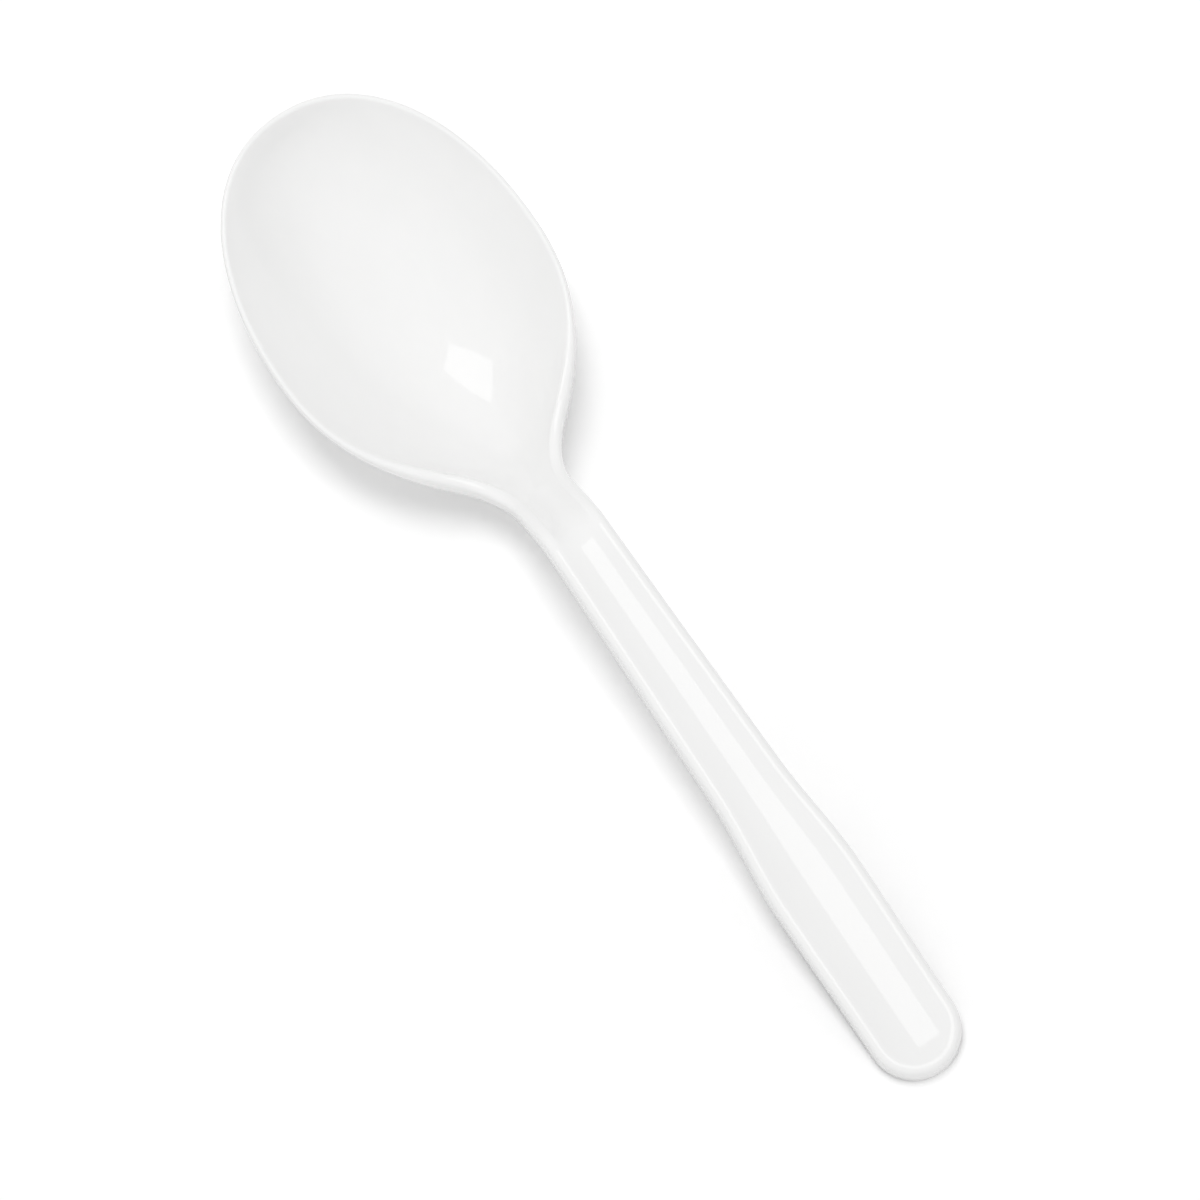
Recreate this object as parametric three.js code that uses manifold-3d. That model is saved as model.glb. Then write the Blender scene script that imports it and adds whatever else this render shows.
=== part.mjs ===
// Disposable soup spoon in white plastic, lying on a table.
// One thin-walled moulding, given as its bowl, neck, stem and grip, which meet on flat cross-sections.
// Millimetres. X runs from the tip of the bowl to the end of the handle, Y across, Z up from the table.
import * as THREE from "three";
import Module from "manifold-3d";

const wasm = await Module();
wasm.setup();

// Plan view. Stations along the spoon are measured from the tip of the bowl.
const LENGTH = 146;
const WIDEST_X = 29;
const BOWL_HALF_WIDTH = 19.5;
const TIP_POWER = 2.16;
const SHOULDER_X = 51.6;
const SHOULDER_HALF_WIDTH = 8.8;
const SHOULDER_SLOPE = -1.12;
const NECK_X = 60.1;
const NECK_HALF_WIDTH = 4.26;
const NECK_SLOPE = 0.01;
const FLARE_START_X = 103.2;
const STEM_HALF_WIDTH = 5.06;
const STEM_SLOPE = 0.02;
const FLARE_END_X = 119.5;
const GRIP_HALF_WIDTH = 6.25;
const END_TAPER = 0.2;
const END_RADIUS = GRIP_HALF_WIDTH - END_TAPER;
const GATE_TRIM = 0.1;
const END_X = LENGTH + GATE_TRIM - END_RADIUS;

// Side view
const RIM_HEIGHT = 12.7;
const NECK_RISE = 5.2;
const RISE_START_X = 55.5;
const RISE_END_X = 67;
const FLOOR_LAG = 1.1;
const LIP_DIP = 1.2;
const LIP_DIP_X = 53.2;
const LIP_DIP_SPREAD = 4.5;
const BEND_START_X = 100;
const BEND_END_X = 116;
const BEND_SLOPE = 0.072;

// Bowl
const BOWL_DEPTH = 11;
const DEEPEST_X = 33.5;
const BOWL_FLOOR_END_X = 58;
const TIP_ROUND = 2.35;
const TIP_FULLNESS = 0.73;
const RAMP_POWER = 1.45;
const FLOOR_POWER = 2;
const WALL = 1;

// Lip of the bowl
const LIP_CREST = 0.5;
const LIP_FALL = 0.5;
const LIP_DROP = 0.35;
const LIP_ROUND = 0.45;
const LIP_DEPTH = 0.8;

// Rails and flanges of the handle
const SKIRT_START_X = 36;
const SKIRT_END_X = 58;
const RAIL_CREST = 1.1;
const RAIL_FALL = 0.6;
const RAIL_ROUND = 0.85;
const FLANGE_DEPTH = 2.4;
const FLANGE_WIDTH = 0.95;
const FLANGE_DRAFT = 0.12;
const TROUGH_SLOPE = 0.3;
const RAIL_DROP = (TROUGH_SLOPE * RAIL_FALL) / 2;

// Cross-sections on which the named lengths meet
const BOWL_NECK_X = 50;
const NECK_STEM_X = 69;
const STEM_GRIP_X = 102;

// Fineness
const TIP_STEPS = 14;
const SHOULDER_STEPS = 11;
const NECK_STEPS = 8;
const STEM_STEPS = 9;
const STEM_EASE = 1.7;
const FLARE_STEPS = 6;
const GRIP_STEPS = 3;
const END_STEPS = 7;
const FLOOR_RINGS = [0, 0.2, 0.4, 0.58, 0.74, 0.86, 0.95];
const FALL_RINGS = [1, 0.68, 0.34];
const ROUND_RINGS = [0, 0.34, 0.68, 1];
const UNDER_RINGS = [0.35, 0.7];
const SLOPE_STEP = 0.02;

const white = new THREE.MeshStandardMaterial({ color: 0xf1f1f0, roughness: 0.18, metalness: 0 });

const mix = THREE.MathUtils.lerp;
const smooth = (x, from, to) => THREE.MathUtils.smoothstep(x, from, to);

// Cubic between two stations, each given by place, half width and slope.
function cubic(x, from, to) {
  const span = to.x - from.x;
  const t = (x - from.x) / span;
  const rest = 1 - t;
  const held = from.half * (1 + 2 * t) * rest * rest + to.half * t * t * (3 - 2 * t);
  return held + span * t * rest * (from.slope * rest - to.slope * t);
}

const STATIONS = [
  { x: WIDEST_X, half: BOWL_HALF_WIDTH, slope: 0, steps: SHOULDER_STEPS },
  { x: SHOULDER_X, half: SHOULDER_HALF_WIDTH, slope: SHOULDER_SLOPE, steps: NECK_STEPS },
  { x: NECK_X, half: NECK_HALF_WIDTH, slope: NECK_SLOPE, steps: STEM_STEPS, ease: STEM_EASE },
  { x: FLARE_START_X, half: STEM_HALF_WIDTH, slope: STEM_SLOPE, steps: FLARE_STEPS },
  { x: FLARE_END_X, half: GRIP_HALF_WIDTH, slope: 0, steps: GRIP_STEPS },
  { x: END_X, half: END_RADIUS, slope: 0 },
];

// One side of the outline from the tip to the end of the handle.
function sideOutline() {
  const points = [];
  for (let i = 0; i < TIP_STEPS; i += 1) {
    const turn = (i / TIP_STEPS) * (Math.PI / 2);
    const along = Math.pow(Math.cos(turn), 2 / TIP_POWER);
    const across = Math.pow(Math.sin(turn), 2 / TIP_POWER);
    points.push(new THREE.Vector2(WIDEST_X * (1 - along), BOWL_HALF_WIDTH * across));
  }
  for (let s = 0; s + 1 < STATIONS.length; s += 1) {
    const from = STATIONS[s];
    const to = STATIONS[s + 1];
    for (let i = 0; i < from.steps; i += 1) {
      const x = mix(from.x, to.x, Math.pow(i / from.steps, from.ease ?? 1));
      points.push(new THREE.Vector2(x, cubic(x, from, to)));
    }
  }
  for (let i = 0; i < END_STEPS; i += 1) {
    const turn = (i / END_STEPS) * (Math.PI / 2);
    points.push(new THREE.Vector2(END_X + END_RADIUS * Math.sin(turn), END_RADIUS * Math.cos(turn)));
  }
  points.push(new THREE.Vector2(END_X + END_RADIUS, 0));
  return points;
}

const side = sideOutline();
const otherSide = side.slice(1, -1).reverse().map((p) => new THREE.Vector2(p.x, -p.y));
const outline = [...side, ...otherSide];
const COUNT = outline.length;

const inward = outline.map((p, i) => {
  const along = new THREE.Vector2().subVectors(outline[(i + 1) % COUNT], outline[(i + COUNT - 1) % COUNT]);
  return new THREE.Vector2(along.y, -along.x).normalize();
});

// How far the handle has bent down at a station.
function bendAt(x) {
  const into = THREE.MathUtils.clamp(x, BEND_START_X, BEND_END_X) - BEND_START_X;
  const past = Math.max(x - BEND_END_X, 0);
  return BEND_SLOPE * ((into * into) / (2 * (BEND_END_X - BEND_START_X)) + past);
}

// The lying spoon touches the table with its belly and with the end of its handle.
const END_CREST = RIM_HEIGHT + NECK_RISE - bendAt(LENGTH);
const TILT = (END_CREST - FLANGE_DEPTH) / (LENGTH - WIDEST_X);

// How far the neck has risen at a station.
function riseAt(x) {
  return NECK_RISE * smooth(x, RISE_START_X, RISE_END_X);
}

// Height of the lip or rail crest.
function crestAt(x) {
  const dip = LIP_DIP * Math.exp(-Math.pow((x - LIP_DIP_X) / LIP_DIP_SPREAD, 2));
  return RIM_HEIGHT + riseAt(x) - dip - bendAt(x) - TILT * (x - WIDEST_X);
}

// Share of the full bowl depth left on the midline, from the lip at the tip to the floor of the handle.
function bowlShare(x) {
  if (x < DEEPEST_X) {
    const back = Math.min((DEEPEST_X - x) / (DEEPEST_X - LIP_CREST - LIP_FALL), 1);
    return Math.pow(1 - Math.pow(back, TIP_ROUND), TIP_FULLNESS);
  }
  const on = Math.min((x - DEEPEST_X) / (BOWL_FLOOR_END_X - DEEPEST_X), 1);
  return Math.pow(1 - on * on, RAMP_POWER);
}

// Edge sizes at one point of the outline.
const edges = outline.map((p, i) => {
  const skirt = smooth(p.x, SKIRT_START_X, SKIRT_END_X);
  const crest = mix(LIP_CREST, RAIL_CREST, skirt);
  const fall = mix(LIP_FALL, RAIL_FALL, skirt);
  const base = p.clone().addScaledVector(inward[i], crest + fall);
  const middle = new THREE.Vector2(THREE.MathUtils.clamp(p.x, WIDEST_X, END_X), 0);
  return {
    skirt,
    crest,
    fall,
    base,
    middle,
    drop: mix(LIP_DROP, RAIL_DROP, skirt),
    round: mix(LIP_ROUND, RAIL_ROUND, skirt),
    depth: mix(LIP_DEPTH, FLANGE_DEPTH, skirt),
    trough: (skirt * TROUGH_SLOPE * base.distanceTo(middle)) / FLOOR_POWER,
  };
});

// Half width between the two feet of the lip at a station.
function footHalf(x) {
  const feet = edges.slice(0, side.length);
  const next = Math.max(feet.findIndex((edge) => edge.base.x >= x), 1);
  const from = feet[next - 1].base;
  const to = feet[next].base;
  return mix(from.y, to.y, (x - from.x) / (to.x - from.x));
}

// Point at a distance in from the outline and a height below the crest line.
function edgePoint(i, into, below) {
  const plan = outline[i].clone().addScaledVector(inward[i], into);
  return new THREE.Vector3(plan.x, plan.y, crestAt(plan.x) - below);
}

// Point of the upper floor; share is 0 on the midline and 1 at the foot of the lip.
// In the neck the floor rises a little later than the rails, most so on the midline.
function floorPoint(i, share) {
  const edge = edges[i];
  const plan = edge.middle.clone().lerp(edge.base, share);
  const inside = 1 - Math.pow(share, FLOOR_POWER);
  const lag = riseAt(plan.x) - riseAt(plan.x - FLOOR_LAG * inside);
  const across = plan.y === 0 ? 0 : Math.min(Math.abs(plan.y) / footHalf(plan.x), 1);
  const bowl = BOWL_DEPTH * bowlShare(plan.x) * (1 - Math.pow(across, FLOOR_POWER));
  return new THREE.Vector3(plan.x, plan.y, crestAt(plan.x) - edge.drop - edge.trough * inside - bowl - lag);
}

// Point of the underside below a floor point, one wall thickness away.
function underPoint(i, share) {
  const here = floorPoint(i, share);
  const nearShare = Math.max(share - SLOPE_STEP, 0);
  const near = floorPoint(i, nearShare);
  const far = floorPoint(i, nearShare + SLOPE_STEP);
  const run = Math.hypot(far.x - near.x, far.y - near.y);
  const across = (far.z - near.z) / run;
  const ahead = (crestAt(here.x + SLOPE_STEP) - crestAt(here.x - SLOPE_STEP)) / (2 * SLOPE_STEP);
  const below = WALL * Math.sqrt(1 + across * across + ahead * ahead * edges[i].skirt);
  return new THREE.Vector3(here.x, here.y, here.z - below);
}

// Rings of points from the top midline out over the lip, and back along the underside.
const ringMakers = [
  ...FLOOR_RINGS.map((share) => (i) => floorPoint(i, share)),
  ...FALL_RINGS.map((share) => (i) => {
    const edge = edges[i];
    return edgePoint(i, edge.crest + edge.fall * share, edge.drop * share * share);
  }),
  ...ROUND_RINGS.map((share) => (i) => {
    const edge = edges[i];
    const turn = share * (Math.PI / 2);
    const into = edge.crest - (edge.crest - FLANGE_DRAFT) * Math.sin(turn);
    return edgePoint(i, into, edge.round * (1 - Math.cos(turn)));
  }),
  (i) => edgePoint(i, 0, edges[i].depth),
  ...UNDER_RINGS.map((share, n) => (i) => {
    const edge = edges[i];
    const outer = edgePoint(i, 0, edge.depth);
    const inner = underPoint(i, 1);
    const lip = outer.clone().lerp(inner, share);
    const foot = edgePoint(i, FLANGE_WIDTH + n * FLANGE_DRAFT, edge.depth);
    foot.z = n === 0 ? foot.z : inner.z;
    return lip.lerp(foot, edge.skirt);
  }),
  (i) => underPoint(i, 1),
  ...FLOOR_RINGS.slice()
    .reverse()
    .map((share) => (i) => underPoint(i, share)),
];

// Closed surface of the whole moulding; points that fall together on the midline are shared.
function mouldingSolid() {
  const places = [];
  const seen = new Map();
  const ids = ringMakers.map((maker, ring) =>
    outline.map((p, i) => {
      const onMiddle = ring === 0 || ring === ringMakers.length - 1;
      const key = ring + ":" + (onMiddle ? edges[i].middle.x : i);
      if (!seen.has(key)) {
        const at = maker(i);
        seen.set(key, places.length / 3);
        places.push(at.x - LENGTH / 2, at.y, at.z);
      }
      return seen.get(key);
    }),
  );
  const faces = [];
  const addFace = (a, b, c) => {
    if (a !== b && b !== c && c !== a) {
      faces.push(a, b, c);
    }
  };
  for (let r = 0; r + 1 < ids.length; r += 1) {
    for (let i = 0; i < COUNT; i += 1) {
      const j = (i + 1) % COUNT;
      addFace(ids[r][i], ids[r][j], ids[r + 1][j]);
      addFace(ids[r][i], ids[r + 1][j], ids[r + 1][i]);
    }
  }
  return new wasm.Manifold(
    new wasm.Mesh({
      numProp: 3,
      vertProperties: new Float32Array(places),
      triVerts: new Uint32Array(faces),
    }),
  );
}

// Solid block over a length of the spoon, standing on the table, so that the belly is cut flat there.
function lengthBlock(fromX, toX) {
  const box = new THREE.BoxGeometry(toX - fromX, LENGTH, LENGTH);
  box.translate((fromX + toX - LENGTH) / 2, 0, LENGTH / 2);
  const at = box.getAttribute("position");
  const places = [];
  const seen = new Map();
  const ids = [];
  for (let v = 0; v < at.count; v += 1) {
    const key = [at.getX(v), at.getY(v), at.getZ(v)].join();
    if (!seen.has(key)) {
      seen.set(key, places.length / 3);
      places.push(at.getX(v), at.getY(v), at.getZ(v));
    }
    ids.push(seen.get(key));
  }
  return new wasm.Manifold(
    new wasm.Mesh({
      numProp: 3,
      vertProperties: new Float32Array(places),
      triVerts: new Uint32Array(Array.from(box.index.array, (v) => ids[v])),
    }),
  );
}

// Named mesh from a solid.
function named(name, solid) {
  const made = solid.getMesh();
  const geometry = new THREE.BufferGeometry();
  geometry.setAttribute("position", new THREE.BufferAttribute(made.vertProperties, made.numProp));
  geometry.setIndex(new THREE.BufferAttribute(made.triVerts, 1));
  geometry.computeVertexNormals();
  const mesh = new THREE.Mesh(geometry, white);
  mesh.name = name;
  return mesh;
}

const moulding = mouldingSolid();
const spoon = new THREE.Group();
spoon.name = "soup_spoon";
spoon.add(named("bowl", moulding.intersect(lengthBlock(-LENGTH, BOWL_NECK_X))));
spoon.add(named("neck", moulding.intersect(lengthBlock(BOWL_NECK_X, NECK_STEM_X))));
spoon.add(named("stem", moulding.intersect(lengthBlock(NECK_STEM_X, STEM_GRIP_X))));
spoon.add(named("grip", moulding.intersect(lengthBlock(STEM_GRIP_X, LENGTH))));

export default spoon;
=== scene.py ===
"""Looks of a disposable soup spoon in white plastic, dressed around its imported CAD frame.

The spoon lies on a table. X runs from the tip of the bowl to the end of the handle, Y across
and Z up. Sizes in the classes are millimetres, and stations along the spoon are measured from
the tip of the bowl.
"""

import logging
import math
from dataclasses import dataclass, field
from enum import Enum

import bmesh
import bpy
import numpy as np
from mathutils import Matrix, Quaternion, Vector


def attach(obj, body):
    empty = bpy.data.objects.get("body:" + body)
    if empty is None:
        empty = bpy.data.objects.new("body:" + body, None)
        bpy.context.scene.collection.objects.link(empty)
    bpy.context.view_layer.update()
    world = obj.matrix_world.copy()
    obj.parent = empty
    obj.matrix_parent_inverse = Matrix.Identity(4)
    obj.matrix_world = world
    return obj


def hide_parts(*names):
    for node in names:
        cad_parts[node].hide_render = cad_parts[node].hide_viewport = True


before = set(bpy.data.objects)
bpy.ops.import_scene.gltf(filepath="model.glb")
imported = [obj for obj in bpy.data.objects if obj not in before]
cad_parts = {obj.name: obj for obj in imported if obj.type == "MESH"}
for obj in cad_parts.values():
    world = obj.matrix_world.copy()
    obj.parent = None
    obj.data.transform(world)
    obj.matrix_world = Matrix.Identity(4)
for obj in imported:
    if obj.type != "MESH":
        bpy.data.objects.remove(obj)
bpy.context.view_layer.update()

MM = 0.001
# Points nearer than this to a plane, in metres, count as lying on it.
ON_PLANE = 1e-7
WHITE = (1.0, 1.0, 1.0, 1.0)
LOG = logging.getLogger("soup_spoon")

Array = np.ndarray
Triple = tuple[float, float, float]


class Stretch(Enum):
    """The named lengths of the moulding, as the CAD nodes have them."""

    BOWL = "bowl"
    NECK = "neck"
    STEM = "stem"
    GRIP = "grip"


def smooth(x: Array | float, start: float, end: float) -> Array | float:
    """Ease from 0 at start to 1 at end.

    Args:
        x: Places to look at.
        start: Place where the rise begins.
        end: Place where it is complete.

    Returns:
        The eased share at each place.
    """
    t = np.clip((x - start) / (end - start), 0.0, 1.0)
    return t * t * (3.0 - 2.0 * t)


def mix(a: Array | float, b: Array | float, share: Array | float) -> Array | float:
    """Blend from a to b by share."""
    return a + (b - a) * share


@dataclass
class PlanView:
    """Outline of the spoon seen from above."""

    length: float = 146.0
    widest_x: float = 29.0
    bowl_half: float = 19.5
    tip_power: float = 2.16
    shoulder_x: float = 51.6
    shoulder_half: float = 8.8
    shoulder_slope: float = -1.12
    neck_x: float = 60.1
    neck_half: float = 4.26
    neck_slope: float = 0.01
    flare_start_x: float = 103.2
    stem_half: float = 5.06
    stem_slope: float = 0.02
    flare_end_x: float = 119.5
    grip_half: float = 6.25
    end_radius: float = 6.05
    gate_trim: float = 0.1
    tip_steps: int = 60
    station_steps: tuple[int, ...] = (40, 22, 60, 24, 18)
    stem_ease: float = 1.5
    end_steps: int = 22

    @property
    def end_x(self) -> float:
        """Station of the centre of the round end."""
        return self.length + self.gate_trim - self.end_radius

    def stations(self) -> list[Triple]:
        """Place, half width and slope of each station along the side."""
        return [
            (self.widest_x, self.bowl_half, 0.0),
            (self.shoulder_x, self.shoulder_half, self.shoulder_slope),
            (self.neck_x, self.neck_half, self.neck_slope),
            (self.flare_start_x, self.stem_half, self.stem_slope),
            (self.flare_end_x, self.grip_half, 0.0),
            (self.end_x, self.end_radius, 0.0),
        ]

    @staticmethod
    def cubic(x: Array, start: Triple, end: Triple) -> Array:
        """Half width between two stations.

        Args:
            x: Places between the stations.
            start: Place, half width and slope at the first station.
            end: The same at the second station.

        Returns:
            Half width at each place.
        """
        span = end[0] - start[0]
        t = (x - start[0]) / span
        rest = 1.0 - t
        held = start[1] * (1.0 + 2.0 * t) * rest * rest + end[1] * t * t * (3.0 - 2.0 * t)
        return held + span * t * rest * (start[2] * rest - end[2] * t)

    def points(self) -> Array:
        """Closed outline of the spoon.

        Returns:
            Points from the tip along +Y to the end of the handle and back along -Y.
        """
        turn = np.linspace(0.0, math.pi / 2.0, self.tip_steps, endpoint=False)
        along = 1.0 - np.cos(turn) ** (2.0 / self.tip_power)
        across = np.sin(turn) ** (2.0 / self.tip_power)
        parts = [np.stack([self.widest_x * along, self.bowl_half * across], axis=1)]
        stations = self.stations()
        for index, steps in enumerate(self.station_steps):
            start, end = stations[index], stations[index + 1]
            share = np.linspace(0.0, 1.0, steps, endpoint=False)
            if start[0] == self.neck_x:
                share = share**self.stem_ease
            x = mix(start[0], end[0], share)
            parts.append(np.stack([x, self.cubic(x, start, end)], axis=1))
        turn = np.linspace(0.0, math.pi / 2.0, self.end_steps + 1)
        end_x = self.end_x + self.end_radius * np.sin(turn)
        parts.append(np.stack([end_x, self.end_radius * np.cos(turn)], axis=1))
        side = np.concatenate(parts)
        side[-1, 1] = 0.0
        other = side[1:-1][::-1] * np.array([1.0, -1.0])
        return np.concatenate([side, other])


@dataclass
class SideView:
    """Height of the lip and of the rails along the spoon."""

    rim_height: float = 12.7
    neck_rise: float = 5.2
    rise_start_x: float = 55.5
    rise_end_x: float = 67.0
    lip_dip: float = 1.2
    lip_dip_x: float = 53.2
    lip_dip_spread: float = 4.5
    bend_start_x: float = 100.0
    bend_end_x: float = 116.0
    bend_slope: float = 0.072

    def bend(self, x: Array | float) -> Array | float:
        """How far the handle has bent down.

        Args:
            x: Stations.

        Returns:
            Drop at each station.
        """
        span = self.bend_end_x - self.bend_start_x
        into = np.clip(x, self.bend_start_x, self.bend_end_x) - self.bend_start_x
        past = np.maximum(x - self.bend_end_x, 0.0)
        return self.bend_slope * (into * into / (2.0 * span) + past)

    def rise(self, x: Array) -> Array:
        """How far the neck has risen at a station."""
        return self.neck_rise * smooth(x, self.rise_start_x, self.rise_end_x)

    def crest(self, x: Array, tilt: float, pivot_x: float) -> Array:
        """Height of the lip or rail crest.

        Args:
            x: Stations.
            tilt: Fall of the lying spoon along its length.
            pivot_x: Station at which the rim has its own height.

        Returns:
            Height above the table at each station.
        """
        dip = self.lip_dip * np.exp(-(((x - self.lip_dip_x) / self.lip_dip_spread) ** 2))
        return self.rim_height + self.rise(x) - dip - self.bend(x) - tilt * (x - pivot_x)


@dataclass
class Hollow:
    """Inside of the bowl and the shallow trough of the handle."""

    depth: float = 11.0
    deepest_x: float = 33.5
    floor_end_x: float = 58.0
    tip_round: float = 2.35
    tip_fullness: float = 0.73
    ramp_power: float = 1.45
    floor_power: float = 2.0
    trough_slope: float = 0.3
    tongue: float = 1.1
    wall: float = 1.0

    def share(self, x: Array, tip_x: float) -> Array:
        """Share of the full bowl depth left on the midline.

        Args:
            x: Stations.
            tip_x: Station of the foot of the lip at the tip.

        Returns:
            The share at each station.
        """
        back = np.clip((self.deepest_x - x) / (self.deepest_x - tip_x), 0.0, 1.0)
        on = np.clip((x - self.deepest_x) / (self.floor_end_x - self.deepest_x), 0.0, 1.0)
        to_tip = (1.0 - back**self.tip_round) ** self.tip_fullness
        return np.where(x < self.deepest_x, to_tip, (1.0 - on * on) ** self.ramp_power)


@dataclass
class EdgeForm:
    """Cross-section of a lip or rail, from its crest inwards and down its outside."""

    crest: float
    fall: float
    drop: float
    rounding: float
    depth: float


@dataclass
class SpoonSkin:
    """The whole thin-walled moulding as one continuous skin."""

    plan: PlanView = field(default_factory=PlanView)
    side: SideView = field(default_factory=SideView)
    hollow: Hollow = field(default_factory=Hollow)
    lip: EdgeForm = field(
        default_factory=lambda: EdgeForm(crest=0.5, fall=0.5, drop=0.35, rounding=0.45, depth=0.8)
    )
    rail: EdgeForm = field(
        default_factory=lambda: EdgeForm(crest=1.1, fall=0.6, drop=0.09, rounding=0.85, depth=2.4)
    )
    skirt_start_x: float = 36.0
    skirt_end_x: float = 58.0
    flange_width: float = 0.95
    flange_draft: float = 0.12
    lip_heel: float = 0.35
    lip_root: float = 0.7
    corner: float = 0.18
    corner_limit: float = 0.4
    slope_step: float = 0.02
    least_half: float = 1e-6
    floor_rings: int = 26
    fall_rings: int = 7
    round_rings: int = 9

    def __post_init__(self) -> None:
        """Work out the outline, its inward normals and the edge sizes along it."""
        self.outline = self.plan.points()
        ahead = np.roll(self.outline, -1, axis=0) - np.roll(self.outline, 1, axis=0)
        inward = np.stack([ahead[:, 1], -ahead[:, 0]], axis=1)
        self.inward = inward / np.linalg.norm(inward, axis=1, keepdims=True)
        end_crest = self.side.rim_height + self.side.neck_rise - self.side.bend(self.plan.length)
        self.tilt = (end_crest - self.rail.depth) / (self.plan.length - self.plan.widest_x)
        x = self.outline[:, 0]
        self.skirt = smooth(x, self.skirt_start_x, self.skirt_end_x)
        self.crest_in = mix(self.lip.crest, self.rail.crest, self.skirt)
        self.fall = mix(self.lip.fall, self.rail.fall, self.skirt)
        self.drop = mix(self.lip.drop, self.rail.drop, self.skirt)
        self.rounding = mix(self.lip.rounding, self.rail.rounding, self.skirt)
        self.depth = mix(self.lip.depth, self.rail.depth, self.skirt)
        self.base = self.outline + self.inward * (self.crest_in + self.fall)[:, None]
        middle_x = np.clip(x, self.plan.widest_x, self.plan.end_x)
        self.middle = np.stack([middle_x, np.zeros_like(middle_x)], axis=1)
        reach = np.linalg.norm(self.base - self.middle, axis=1)
        self.trough = self.skirt * self.hollow.trough_slope * reach / self.hollow.floor_power

    def crest_at(self, x: Array) -> Array:
        """Height of the lip or rail crest at each station."""
        return self.side.crest(x, self.tilt, self.plan.widest_x)

    def edge_ring(self, into: Array | float, below: Array | float) -> Array:
        """Ring at a distance in from the outline and a height below the crest line.

        Args:
            into: Distance in from the outline.
            below: Height below the crest.

        Returns:
            Points of the ring.
        """
        into = np.broadcast_to(into, self.skirt.shape)
        place = self.outline + self.inward * into[:, None]
        return np.column_stack([place, self.crest_at(place[:, 0]) - below])

    def floor_ring(self, share: float) -> Array:
        """Ring of the upper floor, which rises a little later than the rails in the neck.

        Args:
            share: Way across, 0 on the midline and 1 at the foot of the lip.

        Returns:
            Points of the ring.
        """
        place = mix(self.middle, self.base, share)
        x = place[:, 0]
        power = self.hollow.floor_power
        side = self.base[: len(self.base) // 2 + 1]
        foot_half = np.maximum(np.interp(x, side[:, 0], side[:, 1]), self.least_half)
        across = np.clip(np.abs(place[:, 1]) / foot_half, 0.0, 1.0)
        deepest = self.hollow.depth * self.hollow.share(x, self.base[0, 0])
        bowl = deepest * (1.0 - across**power)
        inside = 1.0 - share**power
        lag = self.side.rise(x) - self.side.rise(x - self.hollow.tongue * inside)
        below = self.drop + self.trough * inside + bowl + lag
        return np.column_stack([place, self.crest_at(x) - below])

    def under_ring(self, share: float) -> Array:
        """Ring of the underside, one wall thickness away from the floor.

        The slope step is a share of the way across, and millimetres along the spoon.

        Args:
            share: Way across, 0 on the midline and 1 at the foot of the lip.

        Returns:
            Points of the ring.
        """
        step = self.slope_step
        here = self.floor_ring(share)
        near_share = max(share - step, 0.0)
        near, far = self.floor_ring(near_share), self.floor_ring(near_share + step)
        run = np.hypot(far[:, 0] - near[:, 0], far[:, 1] - near[:, 1])
        across = (far[:, 2] - near[:, 2]) / run
        climb = self.crest_at(here[:, 0] + step) - self.crest_at(here[:, 0] - step)
        ahead = climb / (2.0 * step)
        below = self.hollow.wall * np.sqrt(1.0 + across**2 + ahead**2 * self.skirt)
        return here - np.column_stack([np.zeros((len(here), 2)), below])

    def rounded(self, before: Array, corner: Array, after: Array) -> list[Array]:
        """Three rings that take a sharp corner off.

        Args:
            before: Ring ahead of the corner.
            corner: Ring on the corner.
            after: Ring past the corner.

        Returns:
            Rings that replace the corner.
        """
        back, on = before - corner, after - corner
        back_run = np.linalg.norm(back, axis=1, keepdims=True)
        on_run = np.linalg.norm(on, axis=1, keepdims=True)
        first = corner + back * np.minimum(self.corner / back_run, self.corner_limit)
        last = corner + on * np.minimum(self.corner / on_run, self.corner_limit)
        return [first, (first + 2.0 * corner + last) / 4.0, last]

    def rings(self) -> list[Array]:
        """Rings of the skin.

        Returns:
            Rings from the top midline out over the lip and back along the underside.
        """
        shares = np.linspace(0.0, 1.0, self.floor_rings, endpoint=False)
        made = [self.floor_ring(s) for s in shares]
        for s in np.linspace(1.0, 0.0, self.fall_rings, endpoint=False):
            made.append(self.edge_ring(self.crest_in + self.fall * s, self.drop * s * s))
        for turn in np.linspace(0.0, math.pi / 2.0, self.round_rings):
            into = self.crest_in - (self.crest_in - self.flange_draft) * math.sin(turn)
            made.append(self.edge_ring(into, self.rounding * (1.0 - math.cos(turn))))
        foot = self.edge_ring(0.0, self.depth)
        inner = self.under_ring(1.0)
        skirt = self.skirt[:, None]
        heel_edge = self.edge_ring(self.flange_width, self.depth)
        heel = mix(mix(foot, inner, self.lip_heel), heel_edge, skirt)
        root_edge = self.edge_ring(self.flange_width + self.flange_draft, self.depth)
        root_edge[:, 2] = inner[:, 2]
        root = mix(mix(foot, inner, self.lip_root), root_edge, skirt)
        made += self.rounded(made[-1], foot, heel)
        made += self.rounded(foot, heel, root)
        made += self.rounded(heel, root, inner)
        made.append(inner)
        made += [self.under_ring(s) for s in shares[::-1]]
        for ring in made:
            ring[:, 2] = np.maximum(ring[:, 2], 0.0)
            ring[:, 0] = np.minimum(ring[:, 0], self.plan.length)
        return made

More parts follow.
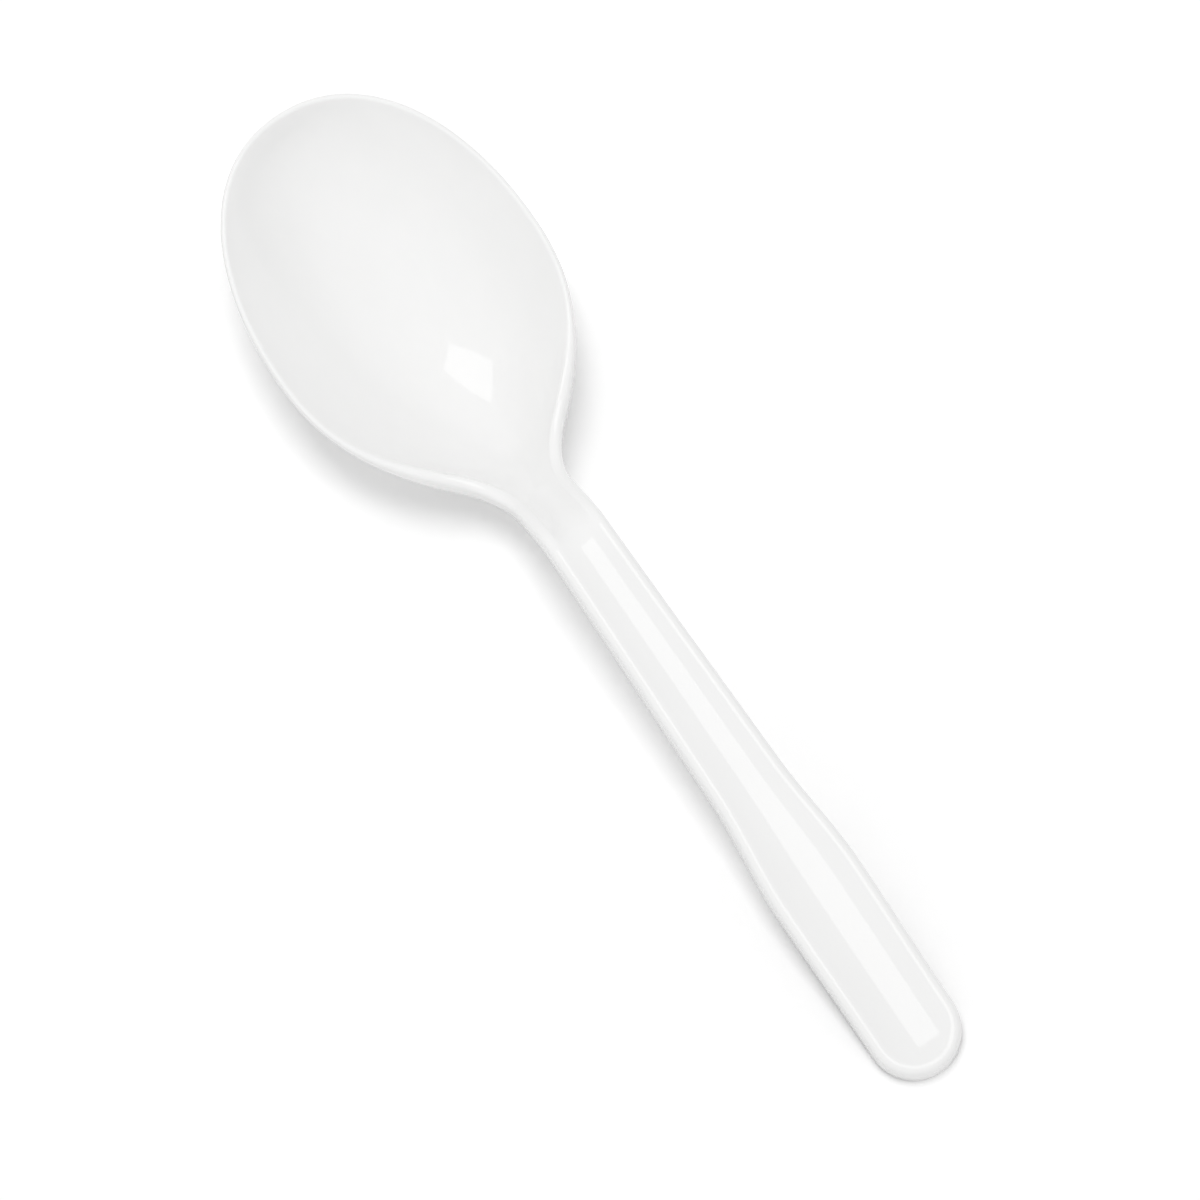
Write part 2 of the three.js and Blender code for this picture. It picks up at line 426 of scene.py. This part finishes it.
    def mesh(self) -> bmesh.types.BMesh:
        """Closed skin in metres.

        Returns:
            The skin, with the points that fall together on the midline shared.
        """
        rings = self.rings()
        made = bmesh.new()
        rows = []
        for index, ring in enumerate(rings):
            on_middle = index in (0, len(rings) - 1)
            seen: dict[float, bmesh.types.BMVert] = {}
            row = []
            for point, key in zip(ring, self.middle[:, 0]):
                vert = seen.get(float(key)) if on_middle else None
                if vert is None:
                    x, y, z = point
                    vert = made.verts.new(((x - self.plan.length / 2.0) * MM, y * MM, z * MM))
                    seen[float(key)] = vert
                row.append(vert)
            rows.append(row)
        count = len(self.outline)
        for upper, lower in zip(rows, rows[1:]):
            for i in range(count):
                j = (i + 1) % count
                corners = list(dict.fromkeys([upper[i], upper[j], lower[j], lower[i]]))
                if len(corners) > 2:
                    made.faces.new(corners)
        made.normal_update()
        return made


class NodeMaker:
    """Short hand for adding and joining shader nodes."""

    # Places of the colour sockets on a Mix node: the share, the two colours and the result.
    COLOUR_INPUTS = (0, 6, 7)
    COLOUR_RESULT = 2

    def __init__(self, tree: bpy.types.NodeTree) -> None:
        """Work on one tree of nodes."""
        self.tree = tree

    def add(
        self, kind: str, settings: dict[str, object] | None = None, **values: object
    ) -> bpy.types.Node:
        """Add a node.

        Args:
            kind: Type of the node, without its prefix.
            settings: Properties of the node itself.
            values: Plain values or outputs for its inputs, by name with spaces as underscores.

        Returns:
            The new node.
        """
        made = self.tree.nodes.new("ShaderNode" + kind)
        for name, value in (settings or {}).items():
            setattr(made, name, value)
        for name, value in values.items():
            self.feed(made.inputs[name.replace("_", " ")], value)
        return made

    def feed(self, socket: bpy.types.NodeSocket, value: object) -> None:
        """Give a socket an output or a plain value.

        Args:
            socket: Input to fill.
            value: Output to join to it, or the value to set.
        """
        if isinstance(value, bpy.types.NodeSocket):
            self.tree.links.new(value, socket)
        else:
            socket.default_value = value

    def scaled(
        self, value: bpy.types.NodeSocket, by: object, offset: object
    ) -> bpy.types.NodeSocket:
        """Multiply a value and add an offset.

        Args:
            value: Output to scale.
            by: Factor, as a number or an output.
            offset: Added afterwards, as a number or an output.

        Returns:
            The scaled output.
        """
        made = self.add("Math", {"operation": "MULTIPLY_ADD"})
        for socket, item in zip(made.inputs, (value, by, offset)):
            self.feed(socket, item)
        return made.outputs[0]

    def leaning(
        self, toward: bpy.types.NodeSocket, lean: Triple, level: object
    ) -> bpy.types.NodeSocket:
        """Level that grows towards one direction.

        Args:
            toward: Output that gives the direction looked in.
            lean: How much the level grows along each axis.
            level: Level without the growth, as a number or an output.

        Returns:
            The level in each direction.
        """
        dot = self.add("VectorMath", {"operation": "DOT_PRODUCT"})
        self.feed(dot.inputs[0], toward)
        self.feed(dot.inputs[1], lean)
        made = self.add("Math", {"operation": "ADD"})
        self.feed(made.inputs[0], dot.outputs["Value"])
        self.feed(made.inputs[1], level)
        return made.outputs[0]

    def tinted(
        self, share: bpy.types.NodeSocket, first: Triple, second: Triple
    ) -> bpy.types.NodeSocket:
        """Blend two colours.

        Args:
            share: Output that picks the second colour where it is 1.
            first: Colour where the share is 0.
            second: Colour where the share is 1.

        Returns:
            The blended colour.
        """
        made = self.add("Mix", {"data_type": "RGBA"})
        items = (share, (*first, 1.0), (*second, 1.0))
        for index, item in zip(self.COLOUR_INPUTS, items):
            self.feed(made.inputs[index], item)
        return made.outputs[self.COLOUR_RESULT]

    def mixed(
        self,
        share: bpy.types.NodeSocket,
        first: bpy.types.NodeSocket,
        second: bpy.types.NodeSocket,
    ) -> bpy.types.NodeSocket:
        """Blend two shaders.

        Args:
            share: Output that picks the second shader where it is 1.
            first: Shader where the share is 0.
            second: Shader where the share is 1.

        Returns:
            The blended shader.
        """
        made = self.add("MixShader")
        for socket, item in zip(made.inputs, (share, first, second)):
            self.feed(socket, item)
        return made.outputs[0]


class MouldedSkin:
    """Shader group for plastic that has flowed along a mould.

    It gives soft clouding, fine orange peel and faint scuffs.
    """

    NAME = "moulded_skin"
    INPUTS = {
        "Colour": "NodeSocketColor",
        "Clouding": "NodeSocketFloat",
        "Roughness": "NodeSocketFloat",
        "Wear": "NodeSocketFloat",
    }
    OUTPUTS = {
        "Colour": "NodeSocketColor",
        "Roughness": "NodeSocketFloat",
        "Height": "NodeSocketFloat",
    }
    FLOW = (90.0, 170.0, 170.0)
    FLOW_ROUGHNESS = 0.02
    PEEL_SCALE = 900.0
    SCUFF = (60.0, 1500.0, 300.0)
    SCUFF_TURN = (0.0, 0.0, 0.35)
    SCUFF_FROM = 0.6
    SCUFF_FULL = 0.78
    SCUFF_HEIGHT = -0.5

    def group(self) -> bpy.types.ShaderNodeTree:
        """Make the group, or give the one already made.

        Returns:
            The group.
        """
        found = bpy.data.node_groups.get(self.NAME)
        if found:
            return found
        made = bpy.data.node_groups.new(self.NAME, "ShaderNodeTree")
        for way, sockets in (("INPUT", self.INPUTS), ("OUTPUT", self.OUTPUTS)):
            for name, kind in sockets.items():
                made.interface.new_socket(name, in_out=way, socket_type=kind)
        self.fill(NodeMaker(made))
        return made

    def fill(self, make: NodeMaker) -> None:
        """Lay out the nodes of the group.

        Args:
            make: Maker for the group's tree.
        """
        given = make.tree.nodes.new("NodeGroupInput").outputs
        out = make.tree.nodes.new("NodeGroupOutput").inputs
        place = make.add("TexCoord").outputs["Object"]
        flow = make.add("Mapping", Vector=place, Scale=self.FLOW).outputs["Vector"]
        clouds = make.add("TexNoise", Vector=flow, Scale=1.0, Detail=4.0, Roughness=0.55)
        cloud = clouds.outputs["Fac"]
        peel = make.add("TexNoise", Vector=place, Scale=self.PEEL_SCALE, Detail=2.0)
        streak = make.add("Mapping", Vector=place, Scale=self.SCUFF, Rotation=self.SCUFF_TURN)
        scuff = make.add(
            "TexNoise", Vector=streak.outputs["Vector"], Scale=1.0, Detail=3.0, Roughness=0.7
        )
        marks = make.add(
            "MapRange",
            {"interpolation_type": "SMOOTHSTEP"},
            Value=scuff.outputs["Fac"],
            From_Min=self.SCUFF_FROM,
            From_Max=self.SCUFF_FULL,
        ).outputs["Result"]
        light = make.scaled(make.scaled(cloud, 2.0, -1.0), given["Clouding"], 1.0)
        shade = make.add(
            "VectorMath", {"operation": "SCALE"}, Vector=given["Colour"], Scale=light
        )
        worn = make.scaled(marks, given["Wear"], given["Roughness"])
        make.feed(out["Colour"], shade.outputs[0])
        make.feed(out["Roughness"], make.scaled(cloud, self.FLOW_ROUGHNESS, worn))
        make.feed(out["Height"], make.scaled(marks, self.SCUFF_HEIGHT, peel.outputs["Fac"]))


@dataclass(frozen=True)
class PlasticFinish:
    """White plastic, as it comes out of the mould or where it was cut from its runner."""

    name: str
    colour: Triple = (0.885, 0.885, 0.881)
    # Painted light: a lighter colour on the bowl and neck, fading to the plain colour along the
    # handle between the two stations below, so these parts look more brightly lit.
    painted_light_colour: Triple = (0.907, 0.907, 0.903)
    painted_light_from: float = 72.0
    painted_light_to: float = 64.0
    clouding: float = 0.02
    roughness: float = 0.03
    wear: float = 0.04
    bump: float = 0.05
    bump_depth: float = 0.02
    ior: float = 1.55

    def material(self, shift: float) -> bpy.types.Material:
        """Make the material of this finish.

        Args:
            shift: Station of the frame's origin.

        Returns:
            The material.
        """
        made = bpy.data.materials.new(self.name)
        made.use_nodes = True
        make = NodeMaker(made.node_tree)
        shader = made.node_tree.nodes["Principled BSDF"]
        place = make.add("SeparateXYZ", Vector=make.add("TexCoord").outputs["Object"])
        # Painted light: share of the lighter colour, full towards the bowl and none along the
        # handle, standing in for brighter light on the bowl and neck.
        thin = make.add(
            "MapRange",
            {"interpolation_type": "SMOOTHSTEP"},
            Value=place.outputs["X"],
            From_Min=(self.painted_light_from - shift) * MM,
            From_Max=(self.painted_light_to - shift) * MM,
        )
        skin = make.add(
            "Group",
            {"node_tree": MouldedSkin().group()},
            Colour=make.tinted(thin.outputs["Result"], self.colour, self.painted_light_colour),
            Clouding=self.clouding,
            Roughness=self.roughness,
            Wear=self.wear,
        )
        bump = make.add(
            "Bump",
            Strength=self.bump,
            Distance=self.bump_depth * MM,
            Height=skin.outputs["Height"],
        )
        make.feed(shader.inputs["Base Color"], skin.outputs["Colour"])
        make.feed(shader.inputs["Roughness"], skin.outputs["Roughness"])
        make.feed(shader.inputs["Normal"], bump.outputs["Normal"])
        make.feed(shader.inputs["IOR"], self.ior)
        return made


@dataclass
class SpoonLength:
    """One named length of the moulding, closed by flat faces where it meets its neighbours."""

    stretch: Stretch
    start_x: float
    end_x: float

    def holds(self, x: float) -> bool:
        """Whether a station lies on this length."""
        return self.start_x <= x < self.end_x

    def build(
        self, skin: bmesh.types.BMesh, plan: PlanView, materials: list[bpy.types.Material]
    ) -> bpy.types.Object:
        """Cut this length out of the skin.

        Args:
            skin: The whole skin, already cut along the ends of the lengths.
            plan: Outline of the spoon.
            materials: Finishes of the moulded skin and of the cut gate.

        Returns:
            The finished piece, riding on its body.
        """
        shift = plan.length / 2.0
        places: dict[int, int] = {}
        points: list[Triple] = []
        faces: list[list[int]] = []
        normals: list[Triple] = []
        slots: list[int] = []
        gate_x = (plan.length - shift) * MM
        for face in skin.faces:
            if not self.holds(face.calc_center_median().x / MM + shift):
                continue
            at_gate = all(vert.co.x > gate_x - ON_PLANE for vert in face.verts)
            corners = []
            for vert in face.verts:
                if vert.index not in places:
                    places[vert.index] = len(points)
                    points.append(tuple(vert.co))
                corners.append(places[vert.index])
                normals.append((1.0, 0.0, 0.0) if at_gate else tuple(vert.normal))
            faces.append(corners)
            slots.append(int(at_gate))
        for loop, outward in self.cut_loops(points, faces, shift):
            faces.append(loop)
            normals += [(outward, 0.0, 0.0)] * len(loop)
            slots.append(0)
        mesh = bpy.data.meshes.new(self.stretch.value)
        mesh.from_pydata(points, [], faces)
        mesh.polygons.foreach_set("use_smooth", [True] * len(faces))
        mesh.polygons.foreach_set("material_index", slots)
        mesh.normals_split_custom_set(normals)
        for material in materials:
            mesh.materials.append(material)
        piece = bpy.data.objects.new("spoon_" + self.stretch.value, mesh)
        bpy.context.scene.collection.objects.link(piece)
        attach(piece, "root")
        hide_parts(self.stretch.value)
        return piece

    def cut_loops(
        self, points: list[Triple], faces: list[list[int]], shift: float
    ) -> list[tuple[list[int], float]]:
        """Loops of points round the open ends of this length.

        Args:
            points: Points of the piece.
            faces: Faces of the piece, by point.
            shift: Station of the frame's origin.

        Returns:
            Each loop in the order that faces outwards, with the sign of its direction along X.
        """
        sides = {(a, b) for face in faces for a, b in zip(face, face[1:] + face[:1])}
        after = {b: a for a, b in sides if (b, a) not in sides}
        middle = (max(self.start_x, 0.0) + self.end_x) / 2.0
        loops = []
        while after:
            first, at = after.popitem()
            loop = [first]
            while at != first:
                loop.append(at)
                at = after.pop(at)
            outward = 1.0 if points[first][0] / MM + shift > middle else -1.0
            loops.append((loop, outward))
        return loops


@dataclass
class Spoon:
    """The spoon as its four named lengths."""

    skin: SpoonSkin = field(default_factory=SpoonSkin)
    cuts: tuple[float, ...] = (50.0, 69.0, 102.0)
    past_ends: float = 1.0
    moulded: PlasticFinish = PlasticFinish("white_plastic")
    scar: PlasticFinish = PlasticFinish(
        "gate_scar", clouding=0.05, roughness=0.45, wear=0.2, bump=0.6
    )

    def build(self) -> dict[Stretch, bpy.types.Object]:
        """Build and dress every length of the spoon.

        Returns:
            The finished pieces by their length.
        """
        length = self.skin.plan.length
        shift = length / 2.0
        body = self.skin.mesh()
        for cut in self.cuts:
            bmesh.ops.bisect_plane(
                body,
                geom=body.verts[:] + body.edges[:] + body.faces[:],
                plane_co=((cut - shift) * MM, 0.0, 0.0),
                plane_no=(1.0, 0.0, 0.0),
                dist=ON_PLANE,
            )
        body.normal_update()
        body.verts.index_update()
        materials = [finish.material(shift) for finish in (self.moulded, self.scar)]
        ends = [-self.past_ends, *self.cuts, length + self.past_ends]
        made = {
            stretch: SpoonLength(stretch, start, end).build(body, self.skin.plan, materials)
            for stretch, start, end in zip(Stretch, ends, ends[1:])
        }
        body.free()
        return made


@dataclass
class SoftBox:
    """One rectangular lamp above the table, turned to the spoon."""

    name: str
    toward: tuple[float, float]
    size: tuple[float, float]
    level: float
    turn: float = 0.0
    distance: float = 2500.0
    in_reflections: bool = False

    def build(self, lit: list[bpy.types.Object]) -> None:
        """Hang the lamp.

        Args:
            lit: Pieces it lights; all of them when empty.
        """
        across, along = self.toward
        away = Vector((across, along, math.sqrt(1.0 - across * across - along * along)))
        data = bpy.data.lights.new(self.name, "AREA")
        data.shape = "RECTANGLE"
        data.size, data.size_y = (side * MM for side in self.size)
        data.energy = self.level * math.pi * data.size * data.size_y
        made = bpy.data.objects.new(self.name, data)
        made.location = away * self.distance * MM
        made.rotation_mode = "QUATERNION"
        side = Vector((0.0, 1.0, 0.0)).cross(away).normalized()
        facing = Matrix((side, away.cross(side), away)).transposed().to_quaternion()
        made.rotation_quaternion = facing @ Quaternion((0.0, 0.0, 1.0), math.radians(self.turn))
        made.visible_camera = False
        made.visible_diffuse = not self.in_reflections
        made.visible_glossy = self.in_reflections
        bpy.context.scene.collection.objects.link(made)
        if lit:
            group = bpy.data.collections.new(self.name + "_lights")
            for piece in lit:
                group.objects.link(piece)
            made.light_linking.receiver_collection = group


@dataclass
class Studio:
    """Camera, table top and soft light."""

    elevation: float = 73.15
    heading: float = -55.526
    distance: float = 900.0
    pixels_per_mm: float = 7.947
    origin_px: tuple[float, float] = (605.712, 605.577)
    image_px: float = 1200.0
    sensor: float = 36.0
    nearest: float = 10.0
    farthest: float = 50000.0
    floor_half: float = 3000.0
    floor_bounce: float = 0.92
    floor_lift: float = 0.035
    sky: float = 0.855
    sky_lean: Triple = (0.18, -0.07, -0.35)
    seen_sky: float = 1.0
    mirrored_horizon: float = 0.7
    mirrored_top: float = 1.3
    mirrored_lean: Triple = (0.0, -0.22, 0.0)
    key: SoftBox = field(
        default_factory=lambda: SoftBox(
            "key", toward=(-0.28, 0.033), size=(1600.0, 900.0), level=5.75
        )
    )
    overhead: SoftBox = field(
        default_factory=lambda: SoftBox(
            "overhead",
            toward=(0.15, 0.07),
            size=(1250.0, 1100.0),
            level=1.4,
            in_reflections=True,
        )
    )
    window: SoftBox = field(
        default_factory=lambda: SoftBox(
            "window",
            toward=(-0.437, -0.245),
            size=(1628.0, 1056.0),
            level=1.3,
            turn=33.2,
            in_reflections=True,
        )
    )

    def along(self) -> Vector:
        """Ground direction that runs up the image."""
        turn = math.radians(90.0 - self.heading)
        return Vector((math.cos(turn), math.sin(turn), 0.0))

    def camera(self) -> None:
        """Set up the camera at the photograph's viewing angle."""
        up = self.along()
        right = up.cross(Vector((0.0, 0.0, 1.0)))
        tilt = math.radians(self.elevation)
        back = -up * math.cos(tilt) + Vector((0.0, 0.0, math.sin(tilt)))
        image_up = up * math.sin(tilt) + Vector((0.0, 0.0, math.cos(tilt)))
        half = self.image_px / 2.0
        aim = -right * (self.origin_px[0] - half) + image_up * (self.origin_px[1] - half)
        data = bpy.data.cameras.new("camera")
        data.sensor_width = self.sensor
        data.lens = self.pixels_per_mm * self.distance / self.image_px * self.sensor
        data.clip_start = self.nearest * MM
        data.clip_end = self.farthest * MM
        made = bpy.data.objects.new("camera", data)
        made.location = (aim / self.pixels_per_mm + back * self.distance) * MM
        made.rotation_mode = "QUATERNION"
        made.rotation_quaternion = Matrix((right, image_up, back)).transposed().to_quaternion()
        bpy.context.scene.collection.objects.link(made)
        bpy.context.scene.camera = made

    def floor(self) -> None:
        """Lay the plain white table top, which keeps the spoon's shadow."""
        half = self.floor_half * MM
        corners = [(-half, -half, 0.0), (half, -half, 0.0), (half, half, 0.0), (-half, half, 0.0)]
        mesh = bpy.data.meshes.new("table_top")
        mesh.from_pydata(corners, [], [(0, 1, 2, 3)])
        made = bpy.data.objects.new("table_top", mesh)
        bpy.context.scene.collection.objects.link(made)
        material = bpy.data.materials.new("table_white")
        material.use_nodes = True
        make = NodeMaker(material.node_tree)
        make.tree.nodes.clear()
        path = make.add("LightPath").outputs["Is Camera Ray"]
        lift = make.add("Emission", Strength=self.floor_lift).outputs[0]
        seen = make.add("AddShader")
        make.feed(seen.inputs[0], make.add("BsdfDiffuse", Color=WHITE).outputs[0])
        make.feed(seen.inputs[1], lift)
        bounce = make.add("BsdfDiffuse", Color=(*[self.floor_bounce] * 3, 1.0)).outputs[0]
        top = make.mixed(path, bounce, seen.outputs[0])
        below = make.add("NewGeometry").outputs["Backfacing"]
        surface = make.mixed(below, top, make.add("BsdfTransparent").outputs[0])
        make.add("OutputMaterial", Surface=surface)
        mesh.materials.append(material)

    def world(self) -> None:
        """Set up the white surroundings, which light, show in the gloss and are seen apart."""
        made = bpy.data.worlds.new("white_surround")
        made.use_nodes = True
        make = NodeMaker(made.node_tree)
        make.tree.nodes.clear()
        toward = make.add("TexCoord").outputs["Generated"]
        glow = make.add(
            "MapRange",
            {"interpolation_type": "SMOOTHSTEP"},
            Value=make.add("SeparateXYZ", Vector=toward).outputs["Z"],
            To_Min=self.mirrored_horizon,
            To_Max=self.mirrored_top,
        ).outputs["Result"]
        levels = (
            make.leaning(toward, self.sky_lean, self.sky),
            make.leaning(toward, self.mirrored_lean, glow),
            self.seen_sky,
        )
        lit, mirrored, seen = (
            make.add("Background", Color=WHITE, Strength=level).outputs[0] for level in levels
        )
        path = make.add("LightPath").outputs
        unseen = make.mixed(path["Is Glossy Ray"], lit, mirrored)
        make.add("OutputWorld", Surface=make.mixed(path["Is Camera Ray"], unseen, seen))
        bpy.context.scene.world = made

    def build(self, pieces: dict[Stretch, bpy.types.Object]) -> None:
        """Set up the whole studio.

        Args:
            pieces: The lengths of the spoon.
        """
        self.camera()
        self.floor()
        self.world()
        self.key.build([])
        self.overhead.build([pieces[s] for s in (Stretch.NECK, Stretch.STEM, Stretch.GRIP)])
        self.window.build([pieces[Stretch.BOWL]])
        bpy.context.scene.view_settings.view_transform = "Standard"


def main() -> None:
    """Build the spoon and the studio around it."""
    logging.basicConfig(level=logging.INFO)
    pieces = Spoon().build()
    for piece in pieces.values():
        LOG.info("%s: %d faces", piece.name, len(piece.data.polygons))
    Studio().build(pieces)


if __name__ == "__main__":
    main()
